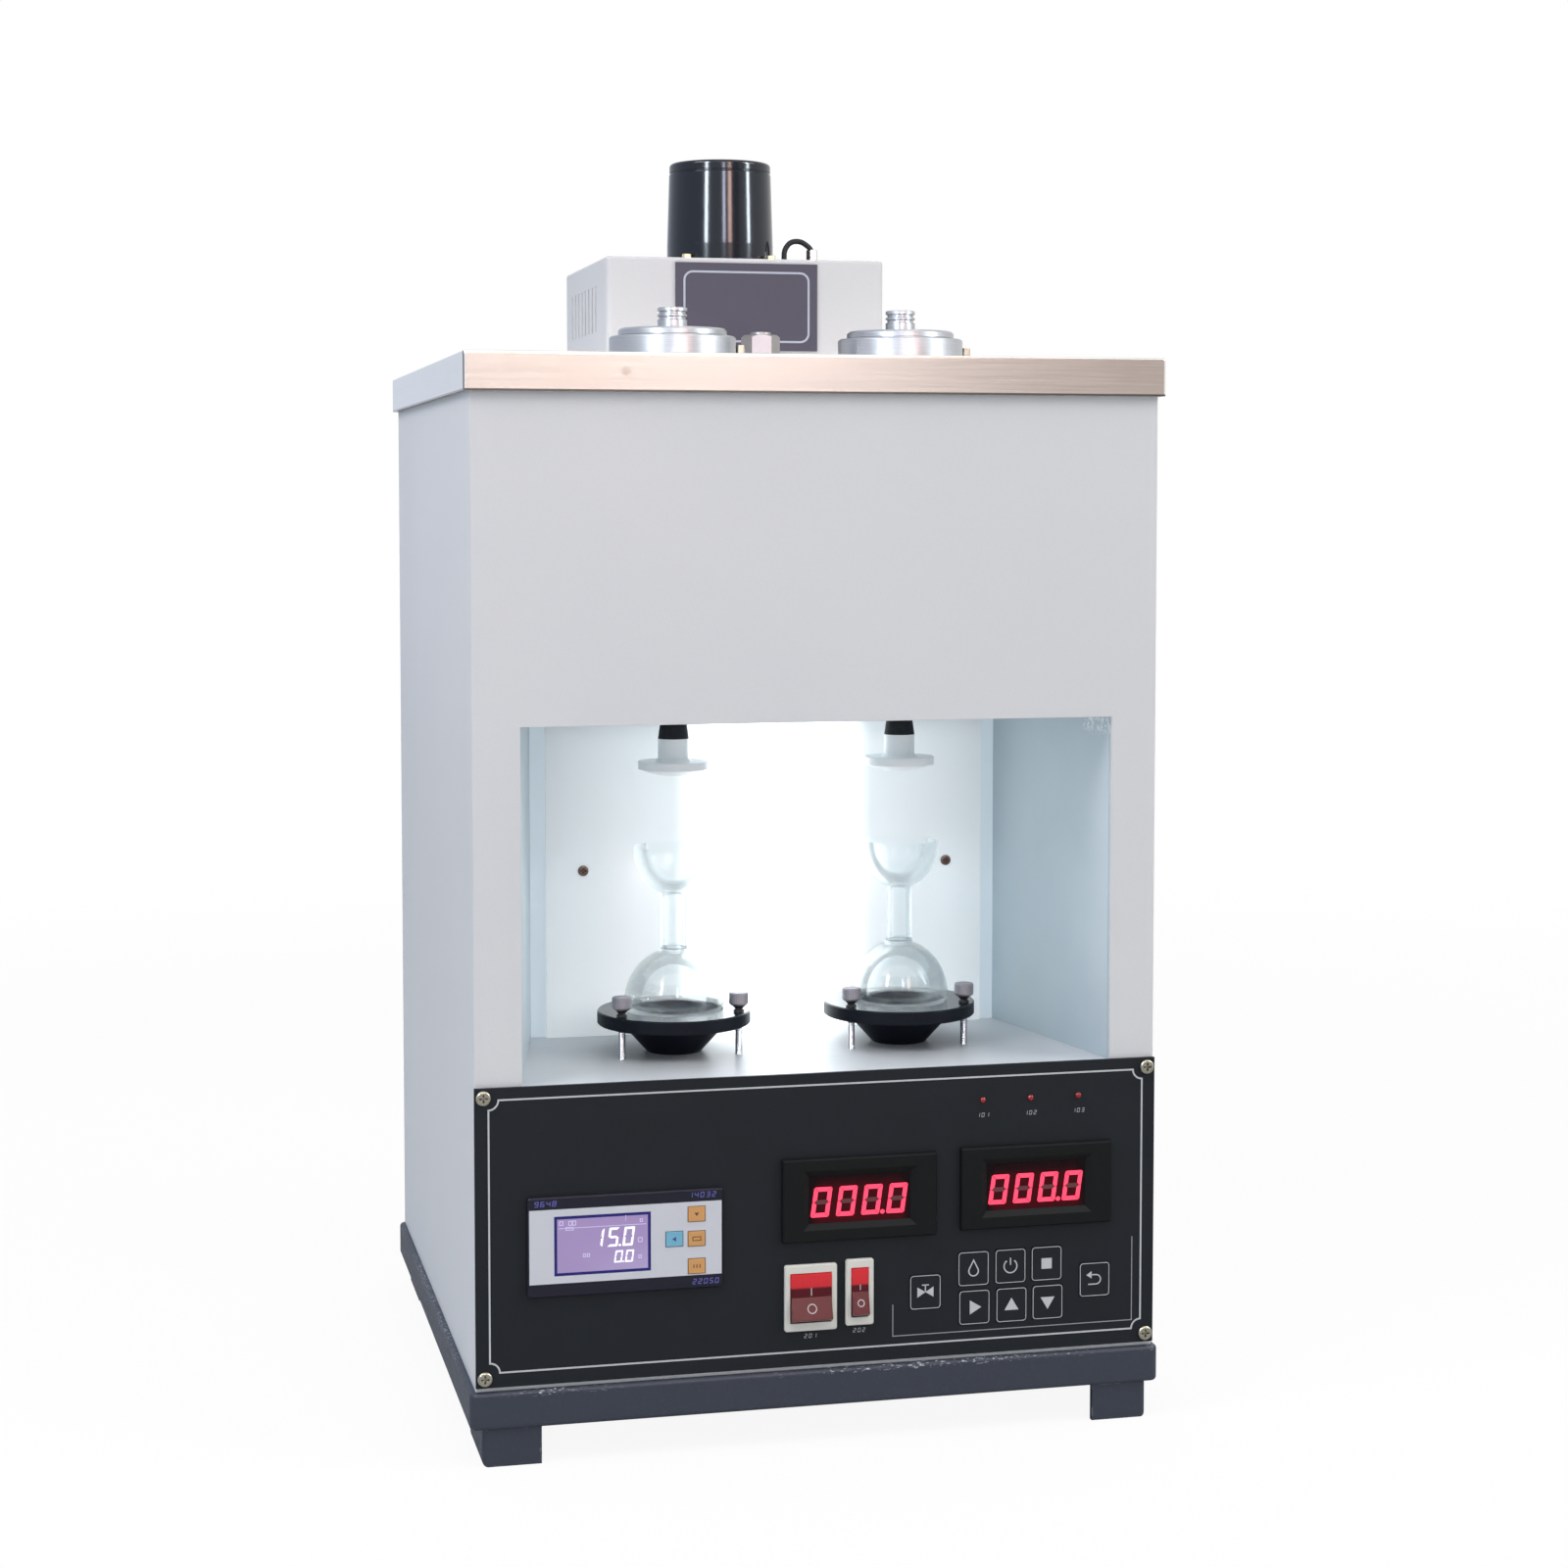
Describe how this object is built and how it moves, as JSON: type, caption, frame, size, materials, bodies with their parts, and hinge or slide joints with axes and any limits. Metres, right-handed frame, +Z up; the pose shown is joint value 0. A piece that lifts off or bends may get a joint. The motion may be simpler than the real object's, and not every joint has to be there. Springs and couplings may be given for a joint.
{
  "type": "saybolt viscometer",
  "caption": "Bench cabinet with a heated oil bath, stirrer, lit chamber, outlet tubes with corks and lids, receiving flasks on trays, and a front panel of timers and keys.",
  "frame": {"origin": "on the floor under the centre of the whole object's footprint", "axes": "+Z up, -Y towards the user at the front panel, +X to the user's right"},
  "size_m": [0.352, 0.3472, 0.6573],
  "materials": {
    "white_paint": "off-white powder coat, low sheen",
    "stainless": "brushed stainless sheet",
    "skirt_paint": "dark blue-grey semi-gloss paint",
    "foot_paint": "dark blue-grey paint",
    "liner_paint": "grey enamel, soft gloss",
    "floor_paint": "grey enamel floor",
    "diffuser_white": "opal white, lit from behind",
    "lamp_white": "frosted lamp tubes with metal caps",
    "polished_steel": "polished stainless",
    "spun_aluminium": "turned aluminium",
    "black_rubber": "black rubber",
    "white_plastic": "white moulded plastic",
    "tray_black": "black satin finish on turned metal",
    "screw_chrome": "bright rods with grey knobs",
    "clear_glass": "clear borosilicate glass",
    "panel_black": "near-black overlay, satin",
    "bezel_black": "dark moulded plastic",
    "display_lens": "violet display lens",
    "orange_key": "orange key",
    "blue_key": "blue key",
    "window_red": "red filter window",
    "cream_plastic": "cream switch frame",
    "rocker_red": "red rocker",
    "lamp_red": "red indicator lens",
    "keypad_grey": "membrane key",
    "nickel": "nickel-plated brass",
    "label_slate": "slate-coloured plate",
    "motor_black": "blue-black gloss enamel",
    "brass_screw": "bright brass",
    "plated_screw": "zinc-plated steel",
    "heater_steel": "stainless heater sheath",
    "inlet_black": "black moulded inlet"
  },
  "bodies": {
    "cabinet": {"base_frame": "skirt_paint", "feet": "foot_paint", "cabinet_shell": "white_paint", "rear_cover": "white_paint", "power_inlet": "inlet_black", "bath_cover": "stainless", "bath_tank": "stainless", "chamber_liner": "liner_paint", "chamber_floor": "floor_paint", "diffuser_panel": "diffuser_white", "lamp_tubes": "lamp_white", "control_panel": "panel_black", "controller_housing": "bezel_black", "controller_display": "display_lens", "timer_housings": "bezel_black", "timer_windows": "window_red", "switch_bezels": "cream_plastic", "indicator_lamps": "lamp_red", "heater_coil": "heater_steel", "control_box": "white_paint", "label_plate": "label_slate", "motor_base": "motor_black", "motor_housing": "motor_black", "motor_screws": "brass_screw", "temperature_probe": "polished_steel", "sensor_lead": "black_rubber", "lead_grommet": "black_rubber", "pan_screws": "plated_screw", "viscometer_tube_left": "spun_aluminium", "flask_tray_left": "tray_black", "viscometer_tube_right": "spun_aluminium", "flask_tray_right": "tray_black"},
    "key_valve": {"key_valve": "keypad_grey"},
    "key_volume": {"key_volume": "keypad_grey"},
    "key_start": {"key_start": "keypad_grey"},
    "key_stop": {"key_stop": "keypad_grey"},
    "key_right": {"key_right": "keypad_grey"},
    "key_up": {"key_up": "keypad_grey"},
    "key_down": {"key_down": "keypad_grey"},
    "key_back": {"key_back": "keypad_grey"},
    "controller_key_top": {"controller_key_top": "orange_key"},
    "controller_key_middle": {"controller_key_middle": "orange_key"},
    "controller_key_low": {"controller_key_low": "orange_key"},
    "controller_key_shift": {"controller_key_shift": "blue_key"},
    "heater_rocker": {"heater_rocker": "rocker_red"},
    "lamp_rocker": {"lamp_rocker": "rocker_red"},
    "tube_lid_left": {"tube_lid_left": "spun_aluminium"},
    "stopper_left": {"stopper_cork_left": "black_rubber", "stopper_handle_left": "white_plastic"},
    "flask_left": {"flask_left": "clear_glass"},
    "thumb_screw_left_outer": {"thumb_screw_left_outer": "screw_chrome"},
    "thumb_screw_left_inner": {"thumb_screw_left_inner": "screw_chrome"},
    "tube_lid_right": {"tube_lid_right": "spun_aluminium"},
    "stopper_right": {"stopper_cork_right": "black_rubber", "stopper_handle_right": "white_plastic"},
    "flask_right": {"flask_right": "clear_glass"},
    "thumb_screw_right_outer": {"thumb_screw_right_outer": "screw_chrome"},
    "thumb_screw_right_inner": {"thumb_screw_right_inner": "screw_chrome"},
    "filler_plug": {"filler_plug": "nickel"},
    "stirrer": {"stirrer": "polished_steel"}
  },
  "joints": [
    {"name": "key_valve_slide", "type": "slide", "parent": "cabinet", "child": "key_valve", "axis": [0, 1, 0], "range_m": [0, 0.00045], "stiffness_N_per_m": 300},
    {"name": "key_volume_slide", "type": "slide", "parent": "cabinet", "child": "key_volume", "axis": [0, 1, 0], "range_m": [0, 0.00045], "stiffness_N_per_m": 300},
    {"name": "key_start_slide", "type": "slide", "parent": "cabinet", "child": "key_start", "axis": [0, 1, 0], "range_m": [0, 0.00045], "stiffness_N_per_m": 300},
    {"name": "key_stop_slide", "type": "slide", "parent": "cabinet", "child": "key_stop", "axis": [0, 1, 0], "range_m": [0, 0.00045], "stiffness_N_per_m": 300},
    {"name": "key_right_slide", "type": "slide", "parent": "cabinet", "child": "key_right", "axis": [0, 1, 0], "range_m": [0, 0.00045], "stiffness_N_per_m": 300},
    {"name": "key_up_slide", "type": "slide", "parent": "cabinet", "child": "key_up", "axis": [0, 1, 0], "range_m": [0, 0.00045], "stiffness_N_per_m": 300},
    {"name": "key_down_slide", "type": "slide", "parent": "cabinet", "child": "key_down", "axis": [0, 1, 0], "range_m": [0, 0.00045], "stiffness_N_per_m": 300},
    {"name": "key_back_slide", "type": "slide", "parent": "cabinet", "child": "key_back", "axis": [0, 1, 0], "range_m": [0, 0.00045], "stiffness_N_per_m": 300},
    {"name": "controller_key_top_slide", "type": "slide", "parent": "cabinet", "child": "controller_key_top", "axis": [0, 1, 0], "range_m": [0, 0.00045], "stiffness_N_per_m": 300},
    {"name": "controller_key_middle_slide", "type": "slide", "parent": "cabinet", "child": "controller_key_middle", "axis": [0, 1, 0], "range_m": [0, 0.00045], "stiffness_N_per_m": 300},
    {"name": "controller_key_low_slide", "type": "slide", "parent": "cabinet", "child": "controller_key_low", "axis": [0, 1, 0], "range_m": [0, 0.00045], "stiffness_N_per_m": 300},
    {"name": "controller_key_shift_slide", "type": "slide", "parent": "cabinet", "child": "controller_key_shift", "axis": [0, 1, 0], "range_m": [0, 0.00045], "stiffness_N_per_m": 300},
    {"name": "heater_rocker_hinge", "type": "hinge", "parent": "cabinet", "child": "heater_rocker", "pos_m": [-0.007, -0.16691, 0.0738], "axis": [1, 0, 0], "range_deg": [0, 18]},
    {"name": "lamp_rocker_hinge", "type": "hinge", "parent": "cabinet", "child": "lamp_rocker", "pos_m": [0.018, -0.16691, 0.075], "axis": [1, 0, 0], "range_deg": [0, 18]},
    {"name": "tube_lid_left_slide", "type": "slide", "parent": "cabinet", "child": "tube_lid_left", "axis": [0, 0, 1], "range_m": [0, 0.03]},
    {"name": "stopper_left_slide", "type": "slide", "parent": "cabinet", "child": "stopper_left", "axis": [0, 0, -1], "range_m": [0, 0.015]},
    {"name": "flask_left_slide", "type": "slide", "parent": "cabinet", "child": "flask_left", "axis": [0, 0, 1], "range_m": [0, 0.02]},
    {"name": "thumb_screw_left_outer_turn", "type": "hinge", "parent": "cabinet", "child": "thumb_screw_left_outer", "pos_m": [-0.09031, -0.10691, 0.2065], "axis": [0, 0, 1], "range_deg": [0, 360]},
    {"name": "thumb_screw_left_inner_turn", "type": "hinge", "parent": "cabinet", "child": "thumb_screw_left_inner", "pos_m": [-0.02969, -0.10691, 0.2065], "axis": [0, 0, 1], "range_deg": [0, 360]},
    {"name": "tube_lid_right_slide", "type": "slide", "parent": "cabinet", "child": "tube_lid_right", "axis": [0, 0, 1], "range_m": [0, 0.03]},
    {"name": "stopper_right_slide", "type": "slide", "parent": "cabinet", "child": "stopper_right", "axis": [0, 0, -1], "range_m": [0, 0.015]},
    {"name": "flask_right_slide", "type": "slide", "parent": "cabinet", "child": "flask_right", "axis": [0, 0, 1], "range_m": [0, 0.02]},
    {"name": "thumb_screw_right_outer_turn", "type": "hinge", "parent": "cabinet", "child": "thumb_screw_right_outer", "pos_m": [0.09031, -0.10691, 0.2065], "axis": [0, 0, 1], "range_deg": [0, 360]},
    {"name": "thumb_screw_right_inner_turn", "type": "hinge", "parent": "cabinet", "child": "thumb_screw_right_inner", "pos_m": [0.02969, -0.10691, 0.2065], "axis": [0, 0, 1], "range_deg": [0, 360]},
    {"name": "filler_plug_slide", "type": "slide", "parent": "cabinet", "child": "filler_plug", "axis": [0, 0, 1], "range_m": [0, 0.03]},
    {"name": "stirrer_spin", "type": "hinge", "parent": "cabinet", "child": "stirrer", "pos_m": [0, 0.07559, 0.4025], "axis": [0, 0, 1], "continuous": true}
  ]
}
